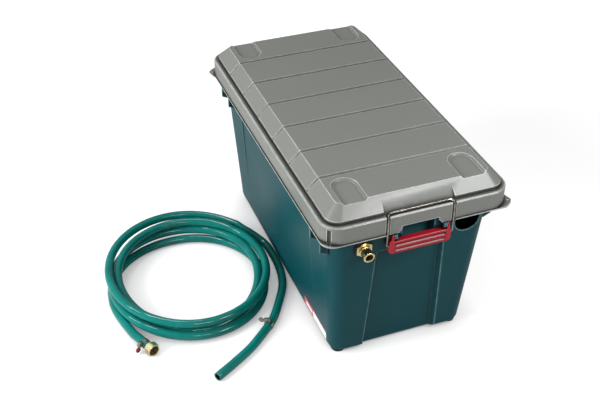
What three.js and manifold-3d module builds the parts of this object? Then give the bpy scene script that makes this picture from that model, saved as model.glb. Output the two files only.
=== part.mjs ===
// A lidded plastic tote on moulded feet, with a latch at each end, a brass hose fitting
// and a round port in its front wall, and a length of garden hose that lies coiled beside it.
// Millimetres, +Z up, origin on the floor under the middle of the tub, front towards -Y.

import * as THREE from 'three';
import { mergeVertices } from 'three/addons/utils/BufferGeometryUtils.js';
import Module from 'manifold-3d';

const wasm = await Module();
wasm.setup();

// Shared values
const gap = 0.3;
const weldShare = 0.001;
const overrun = 20;
const cornerSteps = 6;
const roundSides = 24;
const edgeSteps = 4;

// Lid
const lidTop = 478.5;
const lidWidth = 452;
const lidLength = 854;
const lidWall = 3;
const lidCorner = 45;
const bevel = 28;
const bevelCorner = 32;
const panelCorner = 14;
const lidStep = 8;
const ledgeWidth = 12.5;
const ledgeRound = 2.5;
const skirtHeight = 45.3;
const lipHeight = 2.8;
const lipReach = 2.6;
const lipCorner = 30;
const grooveCount = 6;
const groovePitch = 112.9;
const grooveDepth = 3.2;
const grooveHalfTop = 5;
const grooveHalfFloor = 1.4;
const dishSpacing = 286;
const dishHalfWidth = 31;
const dishEnd = 299;
const dishDepth = 4.5;
const dishSlope = 5;
const notchHalfWidth = 84;
const notchSlope = 6;
const notchRise = 24;
const notchShelf = 15;
const notchRun = 14;
const windowHalfTop = 45;
const windowHalfBottom = 51;
const windowHeight = 16;
const fluteRadius = 5;
const earReach = 12;
const earHole = 3.6;
const earLength = 40;

const ledgeZ = lidTop - bevel - lidStep;
const lipZ = ledgeZ - skirtHeight - ledgeRound;
const lidHalf = { x: lidWidth / 2, y: lidLength / 2 };
const bevelFootHalf = { x: lidHalf.x - ledgeWidth, y: lidHalf.y - ledgeWidth };
const panelHalf = { x: bevelFootHalf.x - bevel, y: bevelFootHalf.y - bevel };

// Tub
const overhangAcross = 51;
const overhangAlong = 62.5;
const draftAcrossShare = 0.0648;
const draftAlongShare = 0.076;
const tubWall = 3;
const tubFloor = 4;
const tubCorner = 36;
const tubBaseEdge = 12;
const footHeight = 8;
const footWidth = 38;
const footLength = 86;
const footInsetAcross = 24.5;
const footInsetAlong = 50.5;
const footTaper = 2;

const tubBaseWidth = lidWidth - 2 * overhangAcross;
const tubBaseLength = lidLength - 2 * overhangAlong;

// Rim of the tub, which carries the lid and stays clear of its skirt
const rimTop = ledgeZ - lidWall - gap;
const rimDepth = 29;
const rimWall = 2.6;
const rimClearance = 5.5;
const rimEdge = 2.5;
const rimHalf = { x: lidHalf.x - lidWall - rimClearance, y: lidHalf.y - lidWall - rimClearance };
const rimCorner = lidCorner - lidWall - rimClearance;
const rimBottom = rimTop - rimDepth;

// Ribs under the rim, and the shallow relief and recess in the walls
const ribInsets = [57.5, -2.5];
const ribThickness = 4;
const ribHeight = 101.2;
const ribRise = 9;
const reliefInset = 114.5;
const reliefFoot = 90;
const reliefDepth = 2.6;
const recessBelowSaddle = 15;
const recessHalfTop = 85;
const recessHalfBottom = 99;
const recessDepth = 13.5;
const recessSlope = 8;
const recessCorner = 12;

const ribFoot = rimTop - ribHeight;
const ribReach = rimHalf.x - rimEdge;

// Port and hose fitting in the front wall
const portRadius = 32;
const portInset = 35;
const portDrop = 56.2;
const fittingInset = 54;
const fittingDrop = 64.2;
const threadRadius = 13.2;
const fittingBore = 9.5;
const fittingReach = 37;
const fittingShank = 21;
const flangeHex = 36;
const flangeThickness = 7;
const washerRadius = 20;
const washerThickness = 2.4;
const lockNutHex = 36;
const lockNutThickness = 8;
const collarRadius = 15.6;
const collarLength = 6;
const spigotChamfer = 0.6;

const port = { x: tubBaseWidth / 2 - portInset, z: rimBottom - portDrop };
const fitting = { x: fittingInset - tubBaseWidth / 2, z: rimBottom - fittingDrop };

// Latches
const pivotOut = 0.5;
const pivotDrop = 55.5;
const pivotToHook = 24;
const leverHalf = 76;
const leverTop = 11;
const leverBottom = 45;
const leverFront = 6;
const leverBack = 8;
const leverSkin = 3;
const leverLip = 4;
const leverGroove = 2;
const leverRows = 5;
const leverGrooveRows = [4, 2];
const earWidth = 8;
const earRadius = 6.5;
const earInner = 64.3;
const trunnionRadius = 3;
const wireRadius = 2.5;
const wireOut = 4;
const hookDepth = 7;
const shelfClearance = 1.2;
const barInboard = 10;
const bailBend = 10;
const bailTurnShares = { foot: 1.6, side: 0.8, top: 0.4, head: 1.8 };
const wireSteps = 60;
const wireSides = 8;
const slotHalf = 4.5;
const slotFloor = 2.1;
const lugWidth = 6.8;
const lugRadius = 6.8;
const saddleInner = 40;
const saddleWall = 3;
const saddleDrop = 50;
const saddleRound = 11;

const pivotZ = ledgeZ - pivotDrop;
const saddleFoot = pivotZ - saddleDrop;
const recessTop = saddleFoot - recessBelowSaddle;

// Hose
const hoseRadius = 11;
const hoseBore = 8;
const hoseSides = 12;
const floorClearance = 0.2;
const boreDepth = 34;
const hoseStep = 52;
const leastSteps = 6;
const coilSides = 6;
const coilStepsPerLoop = 24;
const coilLoops = 3.375;
// Places of the hose are counted from the line where it would touch the tub's base,
// negative away from the tub
const hoseLine = -tubBaseWidth / 2 - hoseRadius;
const coilCentre = [-238, 18];
const coilReach = [223, 230];
// How far out and how high the coil lies at each quarter turn from its left side on, in hose diameters
const coilPlaceShares = [
  [-0.59, 0], [-2.32, 0], [-1.64, 0], [-0.41, 0.27], [-0.77, 1.05], [-1.45, 0.82], [-2.23, 1.09], [-1.64, 0],
  [-1.64, 1.64], [-1.45, 2.09], [-1.09, 1.5], [-1.09, 1.5], [-0.73, 2.14], [0.27, 1.95], [0.05, 0.82],
];
const tangentShare = 0.1;
const apartRadii = 8;
// Points of the two free stretches: place beside that line, place along it and rise above the floor
const fittingTailRoute = [
  [-448.6, -24, 0.1], [-446.4, -42.7, 0.3], [-441, -72.7, 1], [-434.4, -101.8, 2.3],
  [-427.2, -131.2, 3.8], [-420.4, -149.5, 6], [-412.4, -168, 6.6], [-404.6, -186, 6.6],
];
const freeTailRoute = [
  [-52.3, 153.1, 24.8], [-38, 138.4, 18.8], [-24.3, 121.7, 11.8], [-12, 102.1, 5.8],
  [-4.6, 83.3, 2.3], [-1.2, 60, 0.8], [0.1, 11.8, 0.2], [-6, -42.2, 0.2], [-20.7, -92.5, 0.2],
  [-52.6, -151.4, 0.6], [-85.4, -201.6, 1.8], [-120.4, -236, 1], [-168.6, -277, 0.2],
  [-220, -310.4, 0.2], [-246.8, -326, 0.2], [-273.6, -341.6, 0.2],
];

// Coupling at one end of the hose
const nutHex = 30;
const nutLength = 18;
const nutBore = 13.4;
const nutShoulder = 3;
const stemRadius = 8.3;
const stemBore = 6;
const barbRadius = 7.6;
const barbLength = 26;
const barbRidges = 4;
const barbRidge = 0.9;
const stemLength = 9;
const stemFlange = 2.4;
const sealThickness = 2.6;

// Hose clamps
const bandWidth = 9;
const bandThickness = 0.9;
const clampClearance = 0.35;
const housingLength = 13;
const housingHeight = 8.5;
const screwRadius = 2.6;
const screwLength = 17;
const keyLength = 13;
const keyWidth = 13;
const keyThickness = 2.4;
const keySlotDepth = 4;
const couplingClampPlaceShare = 0.72;
const couplingClampRoll = -1.12;
const looseClampStep = 9;
const looseClampPlaceShare = 0.1;
const looseClampRoll = -0.35;

// Materials
const tubPlastic = new THREE.MeshStandardMaterial({ color: 0x1d4a50, roughness: 0.45, metalness: 0 });
const lidPlastic = new THREE.MeshStandardMaterial({ color: 0x8a8c84, roughness: 0.5, metalness: 0 });
const redPlastic = new THREE.MeshStandardMaterial({ color: 0xb8243a, roughness: 0.4, metalness: 0 });
const steelWire = new THREE.MeshStandardMaterial({ color: 0xb9b7ae, roughness: 0.25, metalness: 1 });
const brass = new THREE.MeshStandardMaterial({ color: 0xc9a45a, roughness: 0.28, metalness: 1 });
const rubber = new THREE.MeshStandardMaterial({ color: 0x1a1a1a, roughness: 0.8, metalness: 0 });
const hosePlastic = new THREE.MeshStandardMaterial({ color: 0x0b8a72, roughness: 0.3, metalness: 0 });

const tote = new THREE.Group();

// Turns a closed mesh into a solid that can be joined and cut
function solid(geometry) {
  const bare = geometry.clone();
  bare.deleteAttribute('normal');
  bare.deleteAttribute('uv');
  const merged = mergeVertices(bare, gap * weldShare);
  return new wasm.Manifold(new wasm.Mesh({
    numProp: 3,
    vertProperties: new Float32Array(merged.attributes.position.array),
    triVerts: new Uint32Array(merged.index.array),
  }));
}

// Turns a solid back into a mesh geometry
function meshGeometry(shape) {
  const mesh = shape.getMesh();
  const geometry = new THREE.BufferGeometry();
  geometry.setAttribute('position', new THREE.BufferAttribute(new Float32Array(mesh.vertProperties), 3));
  geometry.setIndex(new THREE.BufferAttribute(new Uint32Array(mesh.triVerts), 1));
  return geometry.toNonIndexed();
}

function addPart(parent, name, shape, material) {
  const geometry = shape.isBufferGeometry ? shape : meshGeometry(shape);
  geometry.computeVertexNormals();
  const mesh = new THREE.Mesh(geometry, material);
  mesh.name = name;
  parent.add(mesh);
  return mesh;
}

// Frames for shapes that are drawn flat: each maps drawing x, drawing y and depth to object axes
const axisX = new THREE.Vector3(1, 0, 0);
const axisY = new THREE.Vector3(0, 1, 0);
const axisZ = new THREE.Vector3(0, 0, 1);
const acrossFrame = new THREE.Matrix4().makeBasis(axisY, axisZ, axisX);
const alongFrame = new THREE.Matrix4().makeBasis(axisZ, axisX, axisY);

// An outline with each corner rounded, for convex outlines drawn anticlockwise
function roundedOutline(corners, radii) {
  const points = [];
  corners.forEach((corner, index) => {
    const radius = radii[index];
    const before = corners.at(index - 1).clone().sub(corner).normalize();
    const after = corners[(index + 1) % corners.length].clone().sub(corner).normalize();
    const half = Math.acos(THREE.MathUtils.clamp(before.dot(after), -1, 1)) / 2;
    const middle = before.clone().add(after).normalize().multiplyScalar(radius / Math.sin(half));
    const centre = corner.clone().add(middle);
    const from = before.clone().multiplyScalar(radius / Math.tan(half)).add(corner).sub(centre);
    const sweep = Math.PI - 2 * half;
    for (let step = 0; step <= cornerSteps; step++) {
      const turned = from.clone().rotateAround(new THREE.Vector2(), (sweep * step) / cornerSteps);
      points.push(turned.add(centre));
    }
  });
  return points;
}

function rectangle(halfX, halfY, radius) {
  const corners = [[1, -1], [1, 1], [-1, 1], [-1, -1]];
  const places = corners.map(([x, y]) => new THREE.Vector2(x * halfX, y * halfY));
  return roundedOutline(places, places.map(() => Math.max(radius, gap)));
}

// A closed skin through outlines at rising depths, with a flat cap at each end
function loft(levels) {
  const count = levels[0].outline.length;
  const positions = [];
  const index = [];
  if (THREE.ShapeUtils.isClockWise(levels[0].outline)) {
    levels.forEach(({ outline }) => outline.reverse());
  }
  levels.forEach(({ at, outline }) => outline.forEach((p) => positions.push(p.x, p.y, at)));
  for (let level = 0; level < levels.length - 1; level++) {
    for (let i = 0; i < count; i++) {
      const a = level * count + i;
      const b = level * count + ((i + 1) % count);
      index.push(a, b, b + count, a, b + count, a + count);
    }
  }
  const last = (levels.length - 1) * count;
  THREE.ShapeUtils.triangulateShape(levels[0].outline, []).forEach(([a, b, c]) => index.push(a, c, b));
  THREE.ShapeUtils.triangulateShape(levels.at(-1).outline, []).forEach(([a, b, c]) => {
    index.push(last + a, last + b, last + c);
  });
  const geometry = new THREE.BufferGeometry();
  geometry.setAttribute('position', new THREE.BufferAttribute(new Float32Array(positions), 3));
  geometry.setIndex(index);
  return geometry;
}

function extrude(points, depth, start = 0) {
  const drawn = () => new THREE.Shape(points.map(([x, y]) => new THREE.Vector2(x, y)));
  const shape = points instanceof THREE.Shape ? points : drawn();
  const settings = { depth, bevelEnabled: false, curveSegments: roundSides / 2 };
  return new THREE.ExtrudeGeometry(shape, settings).translate(0, 0, start);
}

function rod(radius, length, sides = roundSides) {
  return new THREE.CylinderGeometry(radius, radius, length, sides).rotateX(Math.PI / 2);
}

function hexagon(acrossFlats, length) {
  return rod(acrossFlats / 2 / Math.cos(Math.PI / 6), length, 6);
}

// A turned piece: profile points are [radius, place along the axis], and its axis lies along Z
function turned(profile) {
  const points = profile.map(([radius, place]) => new THREE.Vector2(radius, place));
  return new THREE.LatheGeometry([...points, points[0]], roundSides).rotateX(Math.PI / 2);
}

function joined(shapes) {
  return shapes.reduce((whole, shape) => whole.add(shape));
}

function mirroredAcross(shape) {
  return shape.add(shape.mirror([1, 0, 0]));
}

function atBothEnds(shape) {
  return shape.add(shape.rotate([0, 0, 180]));
}

// Half sizes of the tub's outer faces at a height, which grow with the draft
function tubHalf(z) {
  return { x: tubBaseWidth / 2 + draftAcrossShare * z, y: tubBaseLength / 2 + draftAlongShare * z };
}

// Stands a local frame on the front wall, with its depth axis pointing straight out of the wall
function onFrontWall(x, z) {
  const up = new THREE.Vector3(0, -draftAlongShare, 1).normalize();
  const out = axisX.clone().cross(up);
  return new THREE.Matrix4().makeBasis(axisX, up, out).setPosition(x, -tubHalf(z).y, z);
}

function tubBlock(inset, bottom, top, edge) {
  const levels = [];
  for (let step = 0; step <= edgeSteps; step++) {
    const angle = (Math.PI / 2) * (step / edgeSteps);
    const z = bottom + edge * (1 - Math.cos(angle));
    const half = tubHalf(z);
    const draw = inset + edge * (1 - Math.sin(angle));
    const radius = tubCorner - inset - edge * (1 - Math.sin(angle));
    levels.push({ at: z, outline: rectangle(half.x - draw, half.y - draw, radius) });
  }
  const half = tubHalf(top);
  levels.push({ at: top, outline: rectangle(half.x - inset, half.y - inset, tubCorner - inset) });
  return solid(loft(levels));
}

// The tall recess in an end wall; grown by a wall thickness it shapes the inside as well
function endRecess(grow) {
  const corners = (outset) => {
    const bottom = -overrun;
    return roundedOutline([
      new THREE.Vector2(-recessHalfBottom - outset, bottom),
      new THREE.Vector2(recessHalfBottom + outset, bottom),
      new THREE.Vector2(recessHalfTop + outset, recessTop + outset),
      new THREE.Vector2(-recessHalfTop - outset, recessTop + outset),
    ], [recessCorner / 2, recessCorner / 2, recessCorner, recessCorner]);
  };
  const depth = recessDepth + grow;
  const slopeOut = (recessSlope * overrun) / recessDepth;
  const block = loft([
    { at: -depth, outline: corners(grow - recessSlope) },
    { at: overrun - depth, outline: corners(grow - recessSlope + slopeOut) },
  ]);
  return solid(block.applyMatrix4(onFrontWall(0, 0)));
}

// The shallow relief in the middle of a long wall, deepest at the rim and gone near the floor
function sideRelief(grow) {
  const low = tubHalf(reliefFoot).x;
  const high = tubHalf(rimTop).x;
  const profile = [
    [reliefFoot, low - grow], [reliefFoot, high + overrun],
    [rimTop, high + overrun], [rimTop, high - reliefDepth - grow],
  ];
  const reach = tubBaseLength / 2 - reliefInset;
  const wedge = extrude(profile.reverse(), 2 * reach, -reach);
  return mirroredAcross(solid(wedge.applyMatrix4(alongFrame)));
}

function feet() {
  const half = { x: footWidth / 2, y: footLength / 2 };
  const outline = (inset) => rectangle(half.x - inset, half.y - inset, half.x - inset);
  const pad = loft([
    { at: 0, outline: outline(footTaper) },
    { at: footHeight + tubFloor / 2, outline: outline(0) },
  ]);
  const place = [tubBaseWidth / 2 - footInsetAcross, tubBaseLength / 2 - footInsetAlong, 0];
  const corner = solid(pad).translate(place);
  const pair = mirroredAcross(corner);
  return pair.add(pair.mirror([0, 1, 0]));
}

function rim() {
  const outer = solid(loft([
    { at: rimBottom, outline: rectangle(rimHalf.x, rimHalf.y, rimCorner) },
    { at: rimTop - rimEdge, outline: rectangle(rimHalf.x, rimHalf.y, rimCorner) },
    { at: rimTop, outline: rectangle(rimHalf.x - rimEdge, rimHalf.y - rimEdge, rimCorner - rimEdge) },
  ]));
  const channel = rectangle(rimHalf.x - rimWall, rimHalf.y - rimWall, rimCorner - rimWall);
  const cut = solid(loft([
    { at: rimBottom - overrun, outline: channel },
    { at: rimTop - rimWall, outline: channel },
  ]));
  return outer.subtract(cut);
}

function rib(y) {
  const root = tubHalf(ribFoot).x - tubWall / 2;
  const head = tubHalf(rimTop).x - tubWall / 2;
  const profile = [
    [ribFoot - ribRise, root], [rimTop - rimWall / 2, head],
    [rimTop - rimWall / 2, ribReach], [ribFoot, ribReach],
  ];
  const plate = extrude(profile.reverse(), ribThickness, y - ribThickness / 2);
  return solid(plate.applyMatrix4(alongFrame));
}

function ribs() {
  const places = ribInsets.map((inset) => tubBaseLength / 2 - inset);
  const side = joined(places.flatMap((y) => [rib(y), rib(-y)]));
  return mirroredAcross(side);
}

// Places that the latch shares with the tub and the lid, for the front end
const pivotY = -(lidHalf.y - pivotOut);
const saddleFront = -(rimHalf.y - rimWall / 2);
const lugOuter = earInner - gap;
const lugInner = lugOuter - lugWidth;

// A hollow bracket under the rim that carries a latch lug at its outer side
function saddle() {
  const profile = (inset) => {
    const back = -(tubHalf(saddleFoot).y - tubWall / 2);
    const front = saddleFront + inset;
    const shape = new THREE.Shape();
    shape.moveTo(back, saddleFoot - (inset ? overrun : 0));
    shape.lineTo(back, rimTop - rimWall / 2 - inset);
    shape.lineTo(front, rimTop - rimWall / 2 - inset);
    if (inset) {
      shape.lineTo(front, saddleFoot - overrun);
    } else {
      shape.lineTo(front, saddleFoot + saddleRound);
      shape.absarc(front + saddleRound, saddleFoot + saddleRound, saddleRound, Math.PI, 1.5 * Math.PI, false);
    }
    return shape;
  };
  const block = solid(extrude(profile(0), lugOuter - saddleInner, saddleInner).applyMatrix4(acrossFrame));
  const room = lugInner - saddleInner - saddleWall;
  const hollow = extrude(profile(saddleWall), room, saddleInner + saddleWall).applyMatrix4(acrossFrame);
  return block.subtract(solid(hollow));
}

function lug() {
  const shape = new THREE.Shape();
  shape.moveTo(saddleFront + rimWall / 2, pivotZ - lugRadius);
  shape.lineTo(saddleFront + rimWall / 2, pivotZ + lugRadius);
  shape.lineTo(pivotY, pivotZ + lugRadius);
  shape.absarc(pivotY, pivotZ, lugRadius, Math.PI / 2, 1.5 * Math.PI, false);
  return solid(extrude(shape, lugWidth, lugInner).applyMatrix4(acrossFrame));
}

function lugHole() {
  const hole = rod(trunnionRadius + gap, lugWidth + 2 * gap).rotateY(Math.PI / 2);
  return solid(hole).translate([(lugInner + lugOuter) / 2, pivotY, pivotZ]);
}

function wallHole(x, z, radius) {
  return solid(rod(radius, 2 * overrun).applyMatrix4(onFrontWall(x, z)));
}

function tub() {
  const inside = tubBlock(tubWall, footHeight + tubFloor, rimTop + overrun, tubBaseEdge - tubWall)
    .subtract(atBothEnds(endRecess(tubWall)))
    .subtract(sideRelief(tubWall));
  const outside = tubBlock(0, footHeight, rimTop - gap, tubBaseEdge)
    .subtract(atBothEnds(endRecess(0)))
    .subtract(sideRelief(0));
  const brackets = atBothEnds(mirroredAcross(saddle().add(lug())));
  return joined([outside, feet(), rim(), ribs(), brackets])
    .subtract(inside)
    .subtract(atBothEnds(mirroredAcross(lugHole())))
    .subtract(wallHole(port.x, port.z, portRadius))
    .subtract(wallHole(fitting.x, fitting.z, threadRadius + gap));
}

// The lid's outer skin above its lip, or with an inset the cavity under it
function lidBlock(inset, bottom) {
  const slope = inset * Math.tan(Math.PI / 8);
  const level = (half, at, radius) => ({
    at, outline: rectangle(half.x - inset, half.y - inset, radius - inset),
  });
  const shoulder = { x: lidHalf.x - ledgeRound, y: lidHalf.y - ledgeRound };
  const levels = [
    level(lidHalf, bottom, lidCorner),
    level(lidHalf, ledgeZ - ledgeRound - inset, lidCorner),
    level(shoulder, ledgeZ - inset, lidCorner - ledgeRound),
    level(bevelFootHalf, ledgeZ - inset, bevelCorner),
    level(bevelFootHalf, ledgeZ + lidStep - slope, bevelCorner),
  ];
  const flat = { x: panelHalf.x + inset - slope, y: panelHalf.y + inset - slope };
  levels.push(level(flat, lidTop - inset, panelCorner + inset));
  return solid(loft(levels));
}

// Everything above the lid's top and bevels, sunk by a depth, as an outline across the lid
function grooveOutline(depth) {
  const foot = bevelFootHalf.x;
  const slope = depth * Math.tan(Math.PI / 8);
  const above = lidTop + overrun;
  return [
    [above, -foot - overrun], [lidTop - bevel, -foot - overrun], [lidTop - bevel, -foot + depth],
    [lidTop - bevel + slope, -foot + depth], [lidTop - depth, -panelHalf.x + slope],
    [lidTop - depth, panelHalf.x - slope], [lidTop - bevel + slope, foot - depth],
    [lidTop - bevel, foot - depth], [lidTop - bevel, foot + overrun], [above, foot + overrun],
  ].reverse().map(([z, x]) => new THREE.Vector2(z, x));
}

// One groove runs over the lid from side to side, with sloping cheeks
function groove(y, grow) {
  const top = grooveHalfTop + grow;
  const floor = grooveHalfFloor + grow;
  const shallow = Math.max(grow, gap / 3);
  const levels = [
    { at: y - top, outline: grooveOutline(shallow) },
    { at: y - floor, outline: grooveOutline(grooveDepth + grow) },
    { at: y + floor, outline: grooveOutline(grooveDepth + grow) },
    { at: y + top, outline: grooveOutline(shallow) },
  ];
  return solid(loft(levels).applyMatrix4(alongFrame));
}

function grooves(grow) {
  const first = (-groovePitch * (grooveCount - 1)) / 2;
  return joined(Array.from({ length: grooveCount }, (_, i) => groove(first + i * groovePitch, grow)));
}

// A stacking dish in the lid's top, round at one end and open through the end bevel
function dish(grow) {
  const outline = (reach) => {
    const shape = new THREE.Shape();
    shape.moveTo(-reach, -lidHalf.y);
    shape.lineTo(reach, -lidHalf.y);
    shape.absarc(0, -dishEnd - dishHalfWidth, reach, 0, Math.PI, false);
    return shape.getPoints(cornerSteps * 2);
  };
  const half = dishHalfWidth + grow;
  const floor = lidTop - dishDepth - grow;
  const slopeUp = (dishSlope * (dishDepth + overrun)) / dishDepth;
  return solid(loft([
    { at: floor, outline: outline(half - dishSlope) },
    { at: lidTop + overrun - grow, outline: outline(half - dishSlope + slopeUp) },
  ])).translate([dishSpacing / 2, 0, 0]);
}

// The latch notch takes a step out of the end bevel, down to the ledge
function notch(grow) {
  const lean = notchRun / notchRise;
  const top = ledgeZ + 2 * notchRise;
  const profile = (shift) => {
    const foot = -(lidHalf.y - notchShelf) + shift;
    return [
      [foot + lean * (top - ledgeZ), top], [foot - lean * grow, ledgeZ - grow],
      [-lidHalf.y - overrun, ledgeZ - grow], [-lidHalf.y - overrun, top],
    ].map(([y, z]) => new THREE.Vector2(y, z));
  };
  const full = notchHalfWidth + grow;
  const clear = grow - notchShelf;
  return solid(loft([
    { at: -full - notchSlope, outline: profile(clear) },
    { at: -full, outline: profile(grow) },
    { at: full, outline: profile(grow) },
    { at: full + notchSlope, outline: profile(clear) },
  ]).applyMatrix4(acrossFrame));
}

// A slot down the skirt for one leg of the wire bail, cut back where the leg turns in
const legX = leverHalf + wireOut;
function legSlot(grow) {
  const front = -lidHalf.y;
  const floor = front + slotFloor + wireRadius + grow;
  const turn = ledgeRound + slotHalf;
  const top = ledgeZ + gap - (grow ? gap : 0);
  const profile = [
    [front - overrun, lipZ - overrun], [floor, lipZ - overrun], [floor, ledgeZ - turn + gap],
    [floor + slotHalf - gap, top], [front - overrun, top],
  ];
  const half = slotHalf + grow;
  const block = extrude(profile, 2 * half, legX - half).applyMatrix4(acrossFrame);
  return mirroredAcross(solid(block));
}

// The window in the skirt's lower edge behind the latch
function window() {
  const shoulder = lipZ + lipHeight;
  const straight = shoulder + windowHalfBottom - windowHalfTop;
  const profile = [
    [-windowHalfBottom, lipZ - overrun], [windowHalfBottom, lipZ - overrun],
    [windowHalfBottom, shoulder], [windowHalfTop, straight],
    [windowHalfTop, lipZ + windowHeight], [-windowHalfTop, lipZ + windowHeight],
    [-windowHalfTop, straight], [-windowHalfBottom, shoulder],
  ];
  const block = extrude(profile, 2 * overrun).rotateX(Math.PI / 2);
  return solid(block).translate([0, -lidHalf.y + overrun, 0]);
}

function lip() {
  const outline = (reach) => rectangle(lidHalf.x + reach, lidHalf.y + reach, lipCorner);
  const ring = solid(loft([
    { at: lipZ, outline: outline(lipReach) },
    { at: lipZ + lipHeight, outline: outline(lipReach) },
  ]));
  const gapInLip = new THREE.BoxGeometry(2 * (legX + slotHalf), 2 * lipReach + 2 * gap, 2 * overrun);
  const cut = solid(gapInLip).translate([0, -lidHalf.y - lipReach - gap, lipZ]);
  return ring.subtract(atBothEnds(cut));
}

// The tie-down ear that stands out beyond the skirt at one corner
function ear() {
  const hole = { x: lidHalf.x + lipReach, y: -(lidHalf.y - lidCorner / 2) };
  const shape = new THREE.Shape();
  const tip = lidHalf.x + earReach;
  shape.moveTo(lidHalf.x - earLength, -lidHalf.y - lipReach);
  shape.lineTo(lidHalf.x - earReach, -lidHalf.y - lipReach);
  shape.quadraticCurveTo(tip, hole.y - earReach, tip, hole.y);
  shape.lineTo(lidHalf.x, hole.y + earLength);
  const plate = solid(extrude(shape, lipHeight, lipZ));
  const bore = solid(rod(earHole, 2 * overrun)).translate([hole.x, hole.y, lipZ]);
  return plate.subtract(bore);
}

// A flute down the corner of the skirt, and the hole at its foot
function flute(grow) {
  const reach = lidCorner / Math.SQRT2;
  const place = { x: -(lidHalf.x - lidCorner) - reach, y: -(lidHalf.y - lidCorner) - reach };
  const top = ledgeZ - ledgeRound - fluteRadius - grow;
  const cut = rod(fluteRadius + grow, top - lipZ + overrun, roundSides / 2);
  return solid(cut).translate([place.x, place.y, (top + lipZ - overrun) / 2]);
}

function lid() {
  const dishes = (grow) => atBothEnds(mirroredAcross(dish(grow)));
  const cavity = lidBlock(lidWall, lipZ - overrun)
    .subtract(grooves(lidWall))
    .subtract(dishes(lidWall))
    .subtract(atBothEnds(notch(lidWall)))
    .subtract(atBothEnds(legSlot(rimWall)))
    .subtract(atBothEnds(flute(rimWall)));
  return joined([lidBlock(0, lipZ), lip(), atBothEnds(ear())])
    .subtract(cavity)
    .subtract(grooves(0))
    .subtract(dishes(0))
    .subtract(atBothEnds(notch(0)))
    .subtract(atBothEnds(legSlot(0)))
    .subtract(atBothEnds(flute(0)))
    .subtract(atBothEnds(window()));
}

// The latch lever: a ribbed bar between two end blocks with ears, drawn about its pivot
function lever() {
  const front = -leverFront;
  const back = leverBack;
  const step = (leverBottom - leverTop) / leverRows;
  const bar = [
    [back, -leverTop], [back, -leverTop - leverSkin],
    [front + leverSkin + leverGroove, -leverTop - leverSkin],
    [front + leverSkin + leverGroove, -leverBottom + leverSkin], [back, -leverBottom + leverSkin],
    [back, -leverBottom], [front + leverLip / 2, -leverBottom], [front, -leverBottom + leverLip / 2],
    ...leverGrooveRows.flatMap((row) => [
      [front, -leverTop - row * step], [front + leverGroove, -leverTop - row * step + leverGroove],
      [front + leverGroove, -leverTop - (row - 1) * step],
      [front, -leverTop - (row - 1) * step + leverGroove],
    ]),
    [front, -leverTop - leverLip / 2], [front + leverLip / 2, -leverTop],
  ];
  const strip = solid(extrude(bar, 2 * earInner, -earInner).applyMatrix4(acrossFrame));
  const block = new THREE.Shape();
  block.moveTo(back, -leverBottom + leverLip);
  block.lineTo(back - leverLip, -leverBottom);
  block.lineTo(front + leverLip, -leverBottom);
  block.lineTo(front, -leverBottom + leverLip);
  block.lineTo(front, -leverTop);
  block.lineTo(back, -leverTop);
  const end = solid(extrude(block, leverHalf - earInner + gap, earInner - gap).applyMatrix4(acrossFrame));
  const upright = new THREE.Shape();
  upright.moveTo(earRadius, 0);
  upright.absarc(0, 0, earRadius, 0, Math.PI, false);
  upright.lineTo(front, -leverTop - gap);
  upright.lineTo(back, -leverTop - gap);
  const endEar = solid(extrude(upright, earWidth, earInner).applyMatrix4(acrossFrame));
  const stub = solid(rod(trunnionRadius, lugWidth + gap).rotateY(Math.PI / 2));
  const trunnion = stub.translate([earInner - (lugWidth - gap) / 2, 0, 0]);
  const eye = solid(rod(wireRadius + gap, 2 * (hookDepth + gap), roundSides / 2).rotateY(Math.PI / 2));
  const ends = mirroredAcross(joined([end, endEar, trunnion]));
  const eyes = mirroredAcross(eye.translate([leverHalf, 0, -pivotToHook]));
  return strip.add(ends).subtract(eyes);
}

// The wire bail, drawn about the axis of its two hooked ends
function bail() {
  const height = ledgeZ + wireRadius + shelfClearance - (pivotZ - pivotToHook);
  const side = [
    [leverHalf - hookDepth + gap, 0, 0], [leverHalf - gap, 0, 0], [legX - gap, 0, wireRadius / 2],
    [legX, 0, wireRadius * 2], [legX, -pivotOut / 2, height / 4], [legX, -pivotOut, height / 2],
    [legX, -pivotOut, height - bailBend * bailTurnShares.foot],
    [legX, 0, height - bailBend * bailTurnShares.side],
    [legX - gap, wireRadius, height - wireRadius],
    [legX - bailBend * bailTurnShares.top, barInboard - wireRadius, height - gap],
    [legX - bailBend, barInboard, height], [legX - bailBend * bailTurnShares.head, barInboard, height],
  ];
  const mirrored = side.map(([x, y, z]) => [-x, y, z]).reverse();
  const points = [...side, [0, barInboard, height], ...mirrored].map((p) => new THREE.Vector3(...p));
  const path = new THREE.CatmullRomCurve3(points, false, 'centripetal');
  const section = new THREE.Shape().absarc(0, 0, wireRadius, 0, 2 * Math.PI, false);
  return new THREE.ExtrudeGeometry(section, {
    steps: wireSteps, curveSegments: wireSides / 2, bevelEnabled: false, extrudePath: path,
  });
}

function latch(prefix, turn) {
  const group = new THREE.Group();
  const leverMesh = addPart(group, `${prefix}_latch_lever`, lever(), redPlastic);
  const bailMesh = addPart(group, `${prefix}_latch_bail`, bail(), steelWire);
  leverMesh.position.set(0, pivotY, pivotZ);
  bailMesh.position.set(0, pivotY, pivotZ - pivotToHook);
  group.rotation.z = turn;
  tote.add(group);
}

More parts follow.
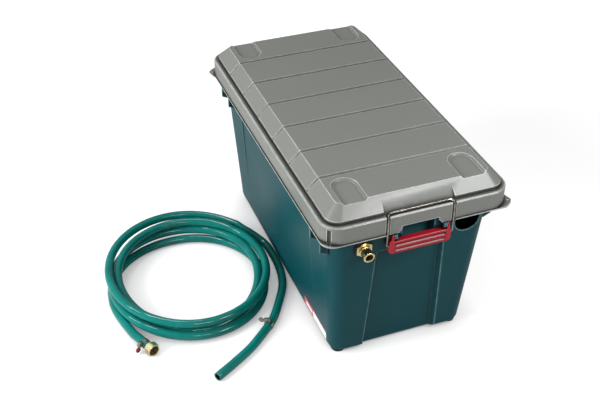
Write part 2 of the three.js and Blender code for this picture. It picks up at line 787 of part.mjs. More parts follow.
// Pieces of the bulkhead fitting share one axis, with zero on the outer face of the tub wall
function hoseFitting() {
  const group = new THREE.Group();
  const inFace = -tubWall;
  const seat = washerThickness + 2 * gap;
  const bore = solid(rod(fittingBore, 4 * (fittingReach + fittingShank)));
  const shank = turned([
    [0, inFace - fittingShank], [threadRadius, inFace - fittingShank], [threadRadius, seat + gap],
    [collarRadius, seat + gap], [collarRadius, seat + flangeThickness + collarLength],
    [threadRadius, seat + flangeThickness + collarLength], [threadRadius, fittingReach - spigotChamfer],
    [threadRadius - spigotChamfer, fittingReach], [0, fittingReach],
  ]);
  const hex = solid(hexagon(flangeHex, flangeThickness)).translate([0, 0, seat + flangeThickness / 2]);
  const body = solid(shank).add(hex).subtract(bore);
  const ring = (outer, inner, thickness) => turned([
    [inner, 0], [outer, 0], [outer, thickness], [inner, thickness],
  ]);
  const clear = threadRadius + gap;
  addPart(group, 'fitting_body', body, brass);
  const outerWasher = ring(washerRadius, clear, washerThickness);
  addPart(group, 'fitting_outer_washer', outerWasher.translate(0, 0, gap), rubber);
  const innerWasher = ring(washerRadius, clear, washerThickness);
  addPart(group, 'fitting_inner_washer', innerWasher.translate(0, 0, inFace - gap - washerThickness), rubber);
  const nutHole = solid(rod(clear, 2 * lockNutThickness));
  const nutSolid = solid(hexagon(lockNutHex, lockNutThickness)).subtract(nutHole);
  const nutPlace = inFace - 2 * gap - washerThickness - lockNutThickness / 2;
  addPart(group, 'fitting_lock_nut', nutSolid.translate([0, 0, nutPlace]), brass);
  group.applyMatrix4(onFrontWall(fitting.x, fitting.z));
  tote.add(group);
}

// A value on the smooth curve through start and end
function splineValue(before, start, end, after, share) {
  const rise = (end - before) / 2;
  const fall = (after - start) / 2;
  const bend = -3 * start + 3 * end - 2 * rise - fall;
  const twist = 2 * start - 2 * end + rise + fall;
  return ((twist * share + bend) * share + rise) * share + start;
}

// Coil: the loops wind clockwise from the left side, each at its own reach and height
function coilPoint(loops) {
  const last = coilPlaceShares.length - 1;
  const index = Math.min(Math.floor(4 * loops), last - 1);
  const picks = [-1, 0, 1, 2].map((k) => coilPlaceShares[THREE.MathUtils.clamp(index + k, 0, last)]);
  const [out, up] = [0, 1].map((axis) => {
    return 2 * hoseRadius * splineValue(...picks.map((pick) => pick[axis]), 4 * loops - index);
  });
  const angle = Math.PI - 2 * Math.PI * loops;
  return new THREE.Vector3(
    hoseLine + coilCentre[0] + (coilReach[0] + out) * Math.cos(angle),
    coilCentre[1] + (coilReach[1] + out) * Math.sin(angle),
    hoseRadius + floorClearance + Math.max(up, 0),
  );
}

// The coil's points, with a straight piece of one diameter at each end
function coilPath() {
  const count = Math.round(coilLoops * coilStepsPerLoop);
  const points = Array.from({ length: count + 1 }, (_, i) => coilPoint((coilLoops * i) / count));
  const inside = (coilLoops * tangentShare) / count;
  const straight = (end, near) => end.clone().sub(near).setLength(2 * hoseRadius).add(end);
  const before = straight(points[0], coilPoint(inside));
  return [before, ...points, straight(points.at(-1), coilPoint(coilLoops - inside))];
}

function leastSelfGap(points, radius) {
  const along = [0];
  points.slice(1).forEach((p, i) => along.push(along[i] + p.distanceTo(points[i])));
  let least = Infinity;
  points.forEach((p, i) => points.forEach((q, j) => {
    if (along[j] - along[i] > apartRadii * radius) {
      least = Math.min(least, p.distanceTo(q));
    }
  }));
  return least - 2 * radius;
}

// A tube of flat-sided rings along points, with its ends square to the path
function tubeAlong(points, radius, sides) {
  const positions = [];
  const index = [];
  points.forEach((point, i) => {
    const ahead = points[Math.min(i + 1, points.length - 1)].clone();
    const tangent = ahead.sub(points[Math.max(i - 1, 0)]).normalize();
    const side = axisZ.clone().cross(tangent).normalize();
    const up = tangent.clone().cross(side);
    for (let k = 0; k < sides; k++) {
      const angle = (2 * Math.PI * (k + 0.5)) / sides;
      const ring = side.clone().multiplyScalar(radius * Math.cos(angle));
      ring.addScaledVector(up, radius * Math.sin(angle)).add(point);
      positions.push(ring.x, ring.y, ring.z);
    }
  });
  for (let i = 0; i < points.length - 1; i++) {
    for (let k = 0; k < sides; k++) {
      const a = i * sides + k;
      const b = i * sides + ((k + 1) % sides);
      index.push(a, b, b + sides, a, b + sides, a + sides);
    }
  }
  const last = (points.length - 1) * sides;
  for (let k = 1; k < sides - 1; k++) {
    index.push(0, k + 1, k, last, last + k, last + k + 1);
  }
  const geometry = new THREE.BufferGeometry();
  geometry.setAttribute('position', new THREE.BufferAttribute(new Float32Array(positions), 3));
  geometry.setIndex(index);
  return geometry;
}

// A free stretch of hose starts a gap past the coil's end and follows its own points
function freeStretch(coilEnd, coilNext, route) {
  const heading = coilEnd.clone().sub(coilNext).normalize();
  const start = coilEnd.clone().addScaledVector(heading, gap);
  const points = [start, start.clone().addScaledVector(heading, hoseRadius), ...route];
  const path = new THREE.CatmullRomCurve3(points, false, 'centripetal');
  const section = new THREE.Shape().absarc(0, 0, hoseRadius, 0, 2 * Math.PI, false);
  const steps = Math.max(Math.round(path.getLength() / hoseStep), leastSteps);
  const tube = new THREE.ExtrudeGeometry(section, {
    steps, curveSegments: hoseSides, bevelEnabled: false, extrudePath: path,
  });
  return { tube, rings: path.getSpacedPoints(steps) };
}

// A place within one straight step of a free stretch, the heading there and the way back
function stepPlace(rings, index, share) {
  const from = rings.at(index - 1);
  const to = rings.at(index);
  const heading = to.clone().sub(from).normalize();
  return { place: from.clone().lerp(to, share), heading, back: heading.clone().negate() };
}

// A frame at a point of the hose: depth runs along the hose, drawing y is up
function frameOnHose(place, heading) {
  const side = axisZ.clone().cross(heading).normalize();
  return new THREE.Matrix4().makeBasis(side, heading.clone().cross(side), heading).setPosition(place);
}

function openBore(tube, end, heading) {
  const cut = rod(hoseBore, 2 * boreDepth, roundSides / 2).applyMatrix4(frameOnHose(end, heading));
  return solid(tube).subtract(solid(cut));
}

// The coupling is drawn with zero at the hose's end and the mouth of its nut ahead
function coupling(end, heading) {
  const group = new THREE.Group();
  const flangeAt = stemLength + nutShoulder + gap;
  const profile = [[stemBore, -barbLength]];
  for (let ridge = 0; ridge < barbRidges; ridge++) {
    const foot = -barbLength + (ridge * barbLength) / (barbRidges + 1);
    profile.push([barbRadius - barbRidge, foot], [barbRadius, foot + barbLength / (barbRidges + 1)]);
  }
  profile.push(
    [barbRadius - barbRidge, -gap], [barbRadius - barbRidge, gap], [stemRadius, gap], [stemRadius, flangeAt],
    [nutBore - 2 * gap, flangeAt], [nutBore - 2 * gap, flangeAt + stemFlange],
    [stemBore, flangeAt + stemFlange],
  );
  addPart(group, 'coupling_tail', turned(profile), brass);
  const sealAt = flangeAt + stemFlange + gap;
  const seal = turned([
    [stemRadius, sealAt], [nutBore - gap, sealAt], [nutBore - gap, sealAt + sealThickness],
    [stemRadius, sealAt + sealThickness],
  ]);
  addPart(group, 'coupling_seal', seal, rubber);
  const cavity = turned([
    [0, stemLength - overrun], [stemRadius + gap, stemLength - overrun],
    [stemRadius + gap, flangeAt - gap], [nutBore, flangeAt - gap],
    [nutBore, stemLength + nutLength + overrun], [0, stemLength + nutLength + overrun],
  ]);
  const nut = solid(hexagon(nutHex, nutLength)).translate([0, 0, stemLength + nutLength / 2]);
  addPart(group, 'coupling_nut', nut.subtract(solid(cavity)), brass);
  group.applyMatrix4(frameOnHose(end, heading));
  tote.add(group);
}

// A worm clamp round the hose; roll turns its screw housing about the hose
function clamp(prefix, { place, back }, roll, keyMaterial) {
  const group = new THREE.Group();
  const inner = hoseRadius + clampClearance;
  const outer = inner + bandThickness;
  const ring = turned([
    [inner, -bandWidth / 2], [outer, -bandWidth / 2], [outer, bandWidth / 2], [inner, bandWidth / 2],
  ]);
  const axisUp = outer + housingHeight / 2;
  const block = new THREE.BoxGeometry(housingLength, housingHeight + 2 * bandThickness, bandWidth);
  const housing = solid(block).translate([0, axisUp - bandThickness / 2, 0]);
  const bore = solid(rod(inner, 2 * bandWidth));
  const sleeve = solid(rod(screwRadius + gap, 2 * housingLength, roundSides / 2).rotateY(Math.PI / 2));
  const band = solid(ring).add(housing).subtract(bore).subtract(sleeve.translate([0, axisUp, 0]));
  addPart(group, `${prefix}_band`, band, steelWire);
  const screw = solid(rod(screwRadius, screwLength, roundSides / 2).rotateY(Math.PI / 2));
  const start = -housingLength / 2;
  const screwEnd = start + screwLength;
  const slot = new THREE.BoxGeometry(2 * keySlotDepth, 4 * screwRadius, keyThickness + 2 * gap);
  const stem = screw.translate([start + screwLength / 2, 0, 0])
    .subtract(solid(slot).translate([screwEnd, 0, 0]));
  const screwMesh = addPart(group, `${prefix}_screw`, stem, steelWire);
  screwMesh.position.set(0, axisUp, 0);
  const wing = new THREE.Shape();
  wing.moveTo(screwEnd - keySlotDepth + gap, -screwRadius);
  wing.quadraticCurveTo(screwEnd, -screwRadius, screwEnd + screwRadius, -keyWidth / 2);
  wing.absarc(screwEnd + keyLength - keyWidth / 2, 0, keyWidth / 2, -Math.PI / 2, Math.PI / 2, false);
  wing.lineTo(screwEnd + screwRadius, keyWidth / 2);
  wing.quadraticCurveTo(screwEnd, screwRadius, screwEnd - keySlotDepth + gap, screwRadius);
  const key = extrude(wing, keyThickness, -keyThickness / 2);
  const keyMesh = addPart(group, `${prefix}_thumb_key`, key, keyMaterial);
  keyMesh.position.set(0, axisUp, 0);
  const turn = new THREE.Matrix4().makeRotationZ(roll);
  group.applyMatrix4(frameOnHose(place, back).multiply(turn));
  tote.add(group);
}

function hose() {
  const points = coilPath();
  console.log('least gap of the coil to itself', leastSelfGap(points, hoseRadius).toFixed(2), 'mm');
  addPart(tote, 'hose_coil', tubeAlong(points, hoseRadius, coilSides), hosePlastic);
  const lowest = hoseRadius + floorClearance;
  const asPoints = (route) => route.map(([beside, along, rise]) => {
    return new THREE.Vector3(hoseLine + beside, along, lowest + rise);
  });
  const near = freeStretch(points[0], points[1], asPoints(fittingTailRoute));
  const far = freeStretch(points.at(-1), points.at(-2), asPoints(freeTailRoute));
  const nearEnd = stepPlace(near.rings, -1, couplingClampPlaceShare);
  const farEnd = stepPlace(far.rings, -1, 1);
  addPart(tote, 'hose_fitting_end', openBore(near.tube, near.rings.at(-1), nearEnd.heading), hosePlastic);
  addPart(tote, 'hose_free_end', openBore(far.tube, far.rings.at(-1), farEnd.heading), hosePlastic);
  coupling(near.rings.at(-1), nearEnd.heading);
  clamp('coupling_clamp', nearEnd, couplingClampRoll, redPlastic);
  const loosePlace = stepPlace(far.rings, looseClampStep, looseClampPlaceShare);
  clamp('loose_clamp', loosePlace, looseClampRoll, steelWire);
}

addPart(tote, 'tub', tub(), tubPlastic);
addPart(tote, 'lid', lid(), lidPlastic);
latch('front', 0);
latch('rear', Math.PI);
hoseFitting();
hose();

export default tote;
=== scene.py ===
# %% [markdown]
# # A waste tote with its hose
# This lesson dresses the solids of a lidded plastic tote: a moulded tub, a moulded lid, two
# latches, a brass hose fitting, and a garden hose that lies coiled on the floor beside it.
# The solids come ready made and stay where they are. What is added here is the camera, the
# hose as one smooth tube, the finishes, the small details and the light.

# %% Load the solids
import math

import bmesh
import bpy
from mathutils import Matrix, Vector


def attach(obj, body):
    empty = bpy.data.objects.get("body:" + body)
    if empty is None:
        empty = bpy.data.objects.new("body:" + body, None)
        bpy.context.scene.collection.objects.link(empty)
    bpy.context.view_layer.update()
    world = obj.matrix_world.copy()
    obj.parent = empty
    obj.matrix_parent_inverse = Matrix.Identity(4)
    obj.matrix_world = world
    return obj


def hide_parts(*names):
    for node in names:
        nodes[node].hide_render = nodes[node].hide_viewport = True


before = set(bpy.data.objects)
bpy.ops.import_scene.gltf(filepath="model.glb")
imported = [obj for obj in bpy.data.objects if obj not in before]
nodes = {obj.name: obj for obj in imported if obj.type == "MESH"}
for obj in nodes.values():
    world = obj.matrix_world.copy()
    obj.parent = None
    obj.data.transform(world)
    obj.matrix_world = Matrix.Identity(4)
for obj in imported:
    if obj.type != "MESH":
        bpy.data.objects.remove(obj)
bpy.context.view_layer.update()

scene = bpy.context.scene
MM = 0.001

# %% [markdown]
# ## The camera
# A product picture is taken from a little above eye level with a long lens, so that upright
# edges lean only slightly. The camera could be aimed by hand, but an aim worked out from the
# vanishing lines of the lid keeps every edge where the eye expects it. The lens is given in
# millimetres for a sensor 36 mm wide.

# %% Camera
CAMERA_PLACE = Vector((-845.66, -1913.53, 1709.96)) * MM
CAMERA_TILT = math.pi / 2 - 0.633278
CAMERA_YAW = -0.361443
SENSOR_WIDTH = 36
FOCAL_LENGTH = 58.43

camera_data = bpy.data.cameras.new("camera")
camera_data.sensor_width = SENSOR_WIDTH
camera_data.lens = FOCAL_LENGTH
camera = bpy.data.objects.new("camera", camera_data)
camera.location = CAMERA_PLACE
camera.rotation_euler = (CAMERA_TILT, 0, CAMERA_YAW)
scene.collection.objects.link(camera)
scene.camera = camera
print("camera", round(CAMERA_PLACE.length, 3), "m from the origin, lens", FOCAL_LENGTH, "mm")

# %% [markdown]
# ## The hose
# A garden hose is a stiff tube that keeps its length, so its shape is first of all a route.
# Drawn by eye it would cross itself; here the coil is a turning formula with one place for
# each quarter turn, which says how far out the hose lies and how high it rests on the turns
# below. The two ends that leave the coil follow short lists of points.

# %% Route of the coil
HOSE_RADIUS = 0.011
FLOOR_GAP = 0.0002
LOWEST = HOSE_RADIUS + FLOOR_GAP
COIL_LOOPS = 3.375
COIL_CENTRE = (-0.424, 0.018)
COIL_REACH = (0.223, 0.230)
# How far out and how high the hose lies at each quarter turn, in hose diameters.
# Each row is one loop: on the left, at the back, on the right and in front.
COIL_PLACES = [
    (-0.59, 0), (-2.32, 0), (-1.64, 0), (-0.41, 0.27),
    (-0.77, 1.05), (-1.45, 0.82), (-2.13, 1.09), (-1.64, 0),
    (-1.64, 1.64), (-1.45, 1.99), (-1.12, 1.5), (-1.09, 1.5),
    (-0.73, 2.14), (0.27, 1.95), (0.05, 0.82),
]
STEPS_PER_LOOP = 144


def spline_value(before, start, end, after, share):
    """A value on the smooth curve that runs through start and end."""
    rise = (end - before) / 2
    fall = (after - start) / 2
    bend = -3 * start + 3 * end - 2 * rise - fall
    twist = 2 * start - 2 * end + rise + fall
    return ((twist * share + bend) * share + rise) * share + start


def coil_point(loops):
    """The hose's centre after so many loops, in metres."""
    last = len(COIL_PLACES) - 1
    quarters = 4 * loops
    index = min(int(quarters), last - 1)
    picks = [COIL_PLACES[min(max(index + k, 0), last)] for k in (-1, 0, 1, 2)]
    diameters = (spline_value(*values, quarters - index) for values in zip(*picks))
    out, up = (2 * HOSE_RADIUS * count for count in diameters)
    angle = math.pi - 2 * math.pi * loops
    return Vector((
        COIL_CENTRE[0] + (COIL_REACH[0] + out) * math.cos(angle),
        COIL_CENTRE[1] + (COIL_REACH[1] + out) * math.sin(angle),
        LOWEST + max(up, 0),
    ))


coil_steps = round(COIL_LOOPS * STEPS_PER_LOOP)
coil_route = [coil_point(COIL_LOOPS * i / coil_steps) for i in range(coil_steps + 1)]
print("coil of", COIL_LOOPS, "loops,", len(COIL_PLACES), "places,", len(coil_route), "points")

# %% Routes of the two ends
# Places in millimetres. The last number is the rise of the hose above where it lies flat.
FITTING_END = [
    (-634.6, -24, 0.1), (-632.4, -42.7, 0.3), (-627, -72.7, 1), (-620.4, -101.8, 2.3),
    (-613.2, -131.2, 3.8), (-606.4, -149.5, 6), (-598.4, -168, 6.6), (-590.6, -186, 6.6),
]
FREE_END = [
    (-238.3, 153.1, 24.8), (-224, 138.4, 18.8), (-210.3, 121.7, 11.8), (-198, 102.1, 5.8),
    (-190.6, 83.3, 2.3), (-187.2, 60, 0.8), (-185.9, 11.8, 0.2), (-192, -42.2, 0.2),
    (-206.7, -92.5, 0.2), (-238.6, -151.4, 0.6), (-271.4, -201.6, 1.8), (-306.4, -236, 1),
    (-354.6, -277, 0.2), (-406, -310.4, 0.2), (-432.8, -326, 0.2), (-459.6, -341.6, 0.2),
]
STEP = 0.008


def leaving(end, before):
    """A short straight piece past an end of the coil."""
    return end + (end - before).normalized() * 2 * HOSE_RADIUS


def smooth_route(points):
    """Points a few millimetres apart on a smooth curve through the given ones."""
    route = []
    padded = [2 * points[0] - points[1], *points, 2 * points[-1] - points[-2]]
    for before, start, end, after in zip(padded, padded[1:], padded[2:], padded[3:]):
        axes = list(zip(before, start, end, after))
        count = max(round((end - start).length / STEP), 1)
        for k in range(count):
            route.append(Vector(spline_value(*axis, k / count) for axis in axes))
    return [*route, points[-1]]


def lying(places):
    """Places of the hose's centre in metres."""
    return [Vector((across * MM, along * MM, LOWEST + rise * MM)) for across, along, rise in places]


def length_of(points):
    """How long a line through the points is."""
    return sum((b - a).length for a, b in zip(points, points[1:]))


fitting_end = lying(FITTING_END)
free_end = lying(FREE_END)
near = smooth_route([coil_route[0], leaving(coil_route[0], coil_route[1]), *fitting_end])
far = smooth_route([coil_route[-1], leaving(coil_route[-1], coil_route[-2]), *free_end])
hose_route = [*reversed(near), *coil_route[1:-1], *far]

# %% [markdown]
# ## One tube for the whole hose
# Blender can bevel a curve into a tube, but a hose that ends cut off shows its wall and its
# bore. A mesh gives that: one ring of points after another is carried along the route, first
# out of the bore, round the cut edge, then along the outside. Each ring is turned as little as
# possible from the one before, so the faces never twist. Their places along and round the hose
# are kept as texture coordinates for the finish.

# %% Rings along the hose
HOSE_BORE = 0.008
BORE_DEPTH = 0.05
BORE_RINGS = 8
EDGE_ROUND = 0.0007
RIM_TURNS = (0, 0.25, 0.5, 0.75, 1)
UPWARDS = Vector((0, 0, 1))


def carried_frames(route):
    """A sideways and an upward direction at each point, turning as little as possible."""
    frames = []
    side = None
    for i, point in enumerate(route):
        heading = (route[min(i + 1, len(route) - 1)] - route[max(i - 1, 0)]).normalized()
        if side is None:
            side = heading.cross(UPWARDS)
        else:
            side = side - heading * side.dot(heading)
        side = side.normalized()
        frames.append((point, side, heading.cross(side)))
    return frames


def tube_rings(route, radius):
    """Rings out of the bore at the free end, round its rim, then back along the outside."""
    frames = carried_frames(route)
    inside = [i for i, place in enumerate(route) if (place - route[-1]).length < BORE_DEPTH]
    rings = [(frames[i], HOSE_BORE) for i in inside[-BORE_RINGS:-1]]
    point, side, up = frames[-1]
    ahead = (route[-1] - route[-2]).normalized()
    for turn in RIM_TURNS:
        back = EDGE_ROUND * (1 - math.sin(math.pi * turn))
        swell = HOSE_BORE + EDGE_ROUND * (1 - math.cos(math.pi * turn)) / 2
        if turn > 0.5:
            swell = radius - EDGE_ROUND * (1 + math.cos(math.pi * turn)) / 2
        rings.append(((point - ahead * back, side, up), swell))
    rings += [(frames[i], radius) for i in range(len(route) - 2, -1, -1)]
    return rings


rings = tube_rings(hose_route, HOSE_RADIUS)
bore_count = sum(radius <= HOSE_BORE for _, radius in rings)
bore_length = length_of([place for (place, _, _), _ in rings[:bore_count + 1]])
print("rings:", len(rings), "of which", bore_count, "in", round(bore_length, 4), "m of bore")

# %% Tube of the hose
HOSE_SIDES = 28


def mesh_from_rings(name, rings, sides):
    """A mesh whose rings are joined side to side, with a coordinate along and one round it."""
    mesh = bpy.data.meshes.new(name)
    verts, faces, places = [], [], []
    along = 0
    for index, ((point, side, up), radius) in enumerate(rings):
        along += (point - rings[max(index - 1, 0)][0][0]).length
        for k in range(sides):
            angle = 2 * math.pi * k / sides
            verts.append(point + (side * math.cos(angle) + up * math.sin(angle)) * radius)
        if index:
            for k in range(sides):
                a, b = (index - 1) * sides + k, (index - 1) * sides + (k + 1) % sides
                faces.append((a, b, b + sides, a + sides))
                places.append([(along, k / sides), (along, (k + 1) / sides)])
    last = len(verts) - sides
    faces.append(tuple(range(sides))[::-1])
    faces.append(tuple(range(last, last + sides)))
    mesh.from_pydata(verts, [], faces)
    uv = mesh.uv_layers.new(name="along_and_round")
    for polygon, (start, end) in zip(mesh.polygons, places):
        for corner, place in zip(polygon.loop_indices, (start, end, end, start)):
            uv.data[corner].uv = place
    mesh.update()
    return mesh


def add_object(name, data, material=None, smooth=True):
    """Links a new object and gives it a finish, if that is known already."""
    thing = bpy.data.objects.new(name, data)
    scene.collection.objects.link(thing)
    if material is not None:
        data.materials.append(material)
    if smooth:
        data.polygons.foreach_set("use_smooth", [True] * len(data.polygons))
    return thing


hose = add_object("hose", mesh_from_rings("hose", rings, HOSE_SIDES))
print("hose tube:", len(hose.data.vertices), "points,", len(hose.data.polygons), "faces")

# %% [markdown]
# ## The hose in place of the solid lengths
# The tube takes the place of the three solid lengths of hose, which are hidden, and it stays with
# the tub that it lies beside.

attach(hose, "tub")
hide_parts("hose_coil", "hose_fitting_end", "hose_free_end")

# %% [markdown]
# ## Small tools for finishes
# A finish is a graph of shader nodes. Writing each link by hand is long, so short helpers add a
# node with its values, lay a noise on the object, calculate, and link the results. An effect
# that several materials share becomes a group with named sockets. It gives out colours, masks,
# values and normals, and the shader itself stays in each material.

# %% Helpers for shader nodes
def add_node(tree, kind, inputs=None, **settings):
    """Adds one shader node; an input is a plain value, or the output socket that feeds it."""
    node = tree.nodes.new("ShaderNode" + kind)
    for key, value in settings.items():
        setattr(node, key, value)
    for key, value in (inputs or {}).items():
        if isinstance(value, bpy.types.NodeSocket):
            tree.links.new(value, node.inputs[key])
        else:
            node.inputs[key].default_value = value
    return node


def new_group(name, inputs, outputs):
    """An empty group with its sockets, what comes into it and the node at its end."""
    tree = bpy.data.node_groups.new(name, "ShaderNodeTree")
    for label, (kind, value) in inputs.items():
        socket = tree.interface.new_socket(label, in_out="INPUT", socket_type="NodeSocket" + kind)
        socket.default_value = value
    for label, kind in outputs.items():
        tree.interface.new_socket(label, in_out="OUTPUT", socket_type="NodeSocket" + kind)
    return tree, tree.nodes.new("NodeGroupInput").outputs, tree.nodes.new("NodeGroupOutput")


def feed(tree, node, **sources):
    """Links colours, values or a normal to the sockets of a shader or of a group's end."""
    for key, source in sources.items():
        tree.links.new(source, node.inputs[key.replace("_", " ")])


def on_object(tree):
    """Coordinates that stay with the object, in metres."""
    return add_node(tree, "TexCoord").outputs["Object"]


def noise(tree, place, scale, detail):
    """A noise pattern laid on the given coordinates."""
    values = {"Vector": place, "Scale": scale, "Detail": detail}
    return add_node(tree, "TexNoise", values).outputs["Fac"]


def fit(tree, value, low, high, to_low=0, to_high=1):
    """Spreads a value from one range to another, held inside the new range."""
    values = {"From Min": low, "From Max": high, "To Min": to_low, "To Max": to_high}
    return add_node(tree, "MapRange", {"Value": value, **values}).outputs["Result"]


def calculate(tree, operation, first, second):
    """One calculation with two values."""
    return add_node(tree, "Math", {0: first, 1: second}, operation=operation).outputs[0]


def times(tree, first, second):
    """The product of two values."""
    return calculate(tree, "MULTIPLY", first, second)


print("helpers for nodes, noise, sums and groups are ready")

# %% [markdown]
# ## What the moulded plastic has in common
# The mould is spark-eroded, so tub and lid carry a fine matt grain, and the plastic is a little
# cloudy in colour. Every outer edge is rounded and painted lighter, partly as wear from handling
# and partly as a painted highlight, and every inner corner gets painted shade. Grain could be
# modelled, but at a tenth of a millimetre it belongs in the normal. The rounded edge comes from
# the Bevel node, which also tells where the edges are. Ambient occlusion then tells the outer
# edges from the creases.

# %% Group of the moulded grain
GREY = (0.5, 0.5, 0.5, 1)
NOISE_SPAN = (0.3, 0.7)  # where nearly all of a noise pattern lies
CLOUD_SCALE, CLOUD_SHARE = 5, 0.7
FLOW_SCALE, FLOW_SHARE = 38, 0.3
GLOSS_SWING = 0.05

group, inside, end_node = new_group(
    "moulded_grain",
    {"Colour": ("Color", GREY), "Cloud": ("Float", 0.1), "Grain Scale": ("Float", 900.0),
     "Roughness": ("Float", 0.5)},
    {"Colour": "Color", "Roughness": "Float", "Height": "Float"},
)
place = on_object(group)
cloud = noise(group, place, CLOUD_SCALE, 4)
flow = noise(group, place, FLOW_SCALE, 3)
both = calculate(group, "ADD", times(group, cloud, CLOUD_SHARE), times(group, flow, FLOW_SHARE))
swing = times(group, calculate(group, "SUBTRACT", both, 0.5), inside["Cloud"])
value = calculate(group, "ADD", swing, 1)
shaded = add_node(group, "HueSaturation", {"Color": inside["Colour"], "Value": value})
gloss = fit(group, cloud, *NOISE_SPAN, -GLOSS_SWING, GLOSS_SWING)
speckle = add_node(group, "TexVoronoi", {"Vector": place, "Scale": inside["Grain Scale"]})
feed(
    group, end_node, Colour=shaded.outputs["Color"], Height=speckle.outputs["Distance"],
    Roughness=calculate(group, "ADD", inside["Roughness"], gloss),
)
moulded_grain = group
print(group.name, len(group.nodes), "nodes")

# %% Group of the rounded edges
BEVEL_SAMPLES, OPEN_SAMPLES = 6, 8
# The edge band is painted lighter, as wear and as a painted highlight; creases get painted shade.
HIGHLIGHT_WEAR_WIDTH = 3
HIGHLIGHT_WEAR_SCALE = 60
HIGHLIGHT_WEAR_SPAN, HIGHLIGHT_WEAR_LEAST = (0.35, 0.65), 0.5
EDGE_LIKENESS = (0.995, 0.93)  # of the rounded normal to the flat one: plain face, full edge
OUTER_OPENNESS = (0.75, 0.95)  # how open a place is: in a hollow, out in the open
CREASE_OPENNESS = (0.64, 0.98)  # the same: deep in a crease, clear of any

group, inside, end_node = new_group(
    "rounded_edge",
    {"Radius": ("Float", 0.001), "Wear": ("Float", 0.5), "Reach": ("Float", 0.006)},
    {"Normal": "Vector", "Edge": "Float", "Crease": "Float"},
)
rounded = add_node(group, "Bevel", {"Radius": inside["Radius"]}, samples=BEVEL_SAMPLES)
band = times(group, inside["Radius"], HIGHLIGHT_WEAR_WIDTH)
wider = add_node(group, "Bevel", {"Radius": band}, samples=BEVEL_SAMPLES).outputs["Normal"]
flat = add_node(group, "NewGeometry").outputs["Normal"]
likeness = add_node(group, "VectorMath", {0: wider, 1: flat}, operation="DOT_PRODUCT")
edge = fit(group, likeness.outputs["Value"], *EDGE_LIKENESS)
patchy = fit(group, noise(group, on_object(group), HIGHLIGHT_WEAR_SCALE, 3), *HIGHLIGHT_WEAR_SPAN, HIGHLIGHT_WEAR_LEAST, 1)
near_by = {"Distance": inside["Reach"]}
openness = add_node(group, "AmbientOcclusion", near_by, samples=OPEN_SAMPLES).outputs["AO"]
outer = times(group, edge, fit(group, openness, *OUTER_OPENNESS))
# Edge: where wear and a painted highlight go. Crease: where painted shade goes.
feed(
    group, end_node, Normal=rounded.outputs["Normal"],
    Edge=times(group, times(group, outer, patchy), inside["Wear"]),
    Crease=fit(group, openness, *CREASE_OPENNESS, 1, 0),
)
rounded_edge = group
print(group.name, len(group.nodes), "nodes")

# %% [markdown]
# ## Plastic finishes
# Lid, tub and levers are three plastics that differ only in numbers, so one function makes them
# all. The edges could be painted by hand, but then each change of a solid would need it again.
# Here the groups find the edges and the creases, and the function mixes in a lighter colour for
# wear and painted highlight on the edges and a dark colour for painted shade in the creases.

# %% Helpers for materials
# The Mix node has sockets for each kind of value. These are the ones for colours.
MIX_SHARE, MIX_FIRST, MIX_SECOND, MIXED = 0, 6, 7, 2


def mix_colour(tree, share, first, second):
    """Mixes two colours by a share."""
    sockets = {MIX_SHARE: share, MIX_FIRST: first, MIX_SECOND: second}
    return add_node(tree, "Mix", sockets, data_type="RGBA").outputs[MIXED]


def relief(tree, height, strength, distance, normal=None):
    """A normal that shows a height as fine relief, on top of another normal if there is one."""
    values = {"Height": height, "Strength": strength, "Distance": distance}
    if normal is not None:
        values["Normal"] = normal
    return add_node(tree, "Bump", values).outputs["Normal"]


def place_group(tree, group, **inputs):
    """Puts a shared group into a material, with this material's own values."""
    node = tree.nodes.new("ShaderNodeGroup")
    node.node_tree = group
    for key, value in inputs.items():
        node.inputs[key].default_value = value
    return node.outputs


def new_material(name, **shader_values):
    """A material with a Principled shader, its constants set on the shader's own sockets."""
    material = bpy.data.materials.new(name)
    material.use_nodes = True
    tree = material.node_tree
    shader = tree.nodes["Principled BSDF"]
    for key, value in shader_values.items():
        shader.inputs[key.replace("_", " ")].default_value = value
    return material, tree, shader


print("helpers for materials are ready")

# %% Plastic finishes
def moulded_material(name, colours, grain, rounding, bump, **shader_values):
    """Moulded plastic: cloudy grain, worn edges with painted highlight and creases in painted
    shade.
    """
    plain, worn_and_highlight, crease_shade_colour = colours
    material, tree, shader = new_material(name, **shader_values)
    body = place_group(tree, moulded_grain, Colour=plain, **grain)
    edge = place_group(tree, rounded_edge, **rounding)
    # painted shade in the creases, then wear and painted highlight on the edges
    with_crease_shade = mix_colour(tree, edge["Crease"], body["Colour"], crease_shade_colour)
    feed(
        tree, shader, Base_Color=mix_colour(tree, edge["Edge"], with_crease_shade, worn_and_highlight),
        Roughness=body["Roughness"], Normal=relief(tree, body["Height"], *bump, edge["Normal"]),
    )
    return material


# For each: the plain colour, the colour of wear and painted highlight on edges, the painted shade
# colour of creases, the grain, the rounding, the relief's two values
lid_plastic = moulded_material(
    "lid_plastic",
    [(0.161, 0.167, 0.154, 1), (0.68, 0.69, 0.66, 1), (0.012, 0.013, 0.011, 1)],
    {"Cloud": 0.08, "Grain Scale": 700.0, "Roughness": 0.31},
    {"Radius": 0.0010, "Wear": 1.0, "Reach": 0.012}, (0.12, 0.0004),
)
tub_plastic = moulded_material(
    "tub_plastic",
    [(0.002, 0.049, 0.059, 1), (0.16, 0.30, 0.32, 1), (0.001, 0.014, 0.018, 1)],
    {"Cloud": 0.2, "Grain Scale": 900.0, "Roughness": 0.34},
    {"Radius": 0.0018, "Wear": 1.0, "Reach": 0.012}, (0.08, 0.0003), Specular_IOR_Level=0.15,
)
red_plastic = moulded_material(
    "red_plastic",
    [(0.33, 0.008, 0.018, 1), (0.50, 0.08, 0.10, 1), (0.05, 0.002, 0.004, 1)],
    {"Cloud": 0.08, "Grain Scale": 1400.0, "Roughness": 0.24},
    {"Radius": 0.0010, "Wear": 0.5, "Reach": 0.012}, (0.05, 0.0002), Specular_IOR_Level=0.35,
)
print("plastics:", lid_plastic.name, tub_plastic.name, red_plastic.name)
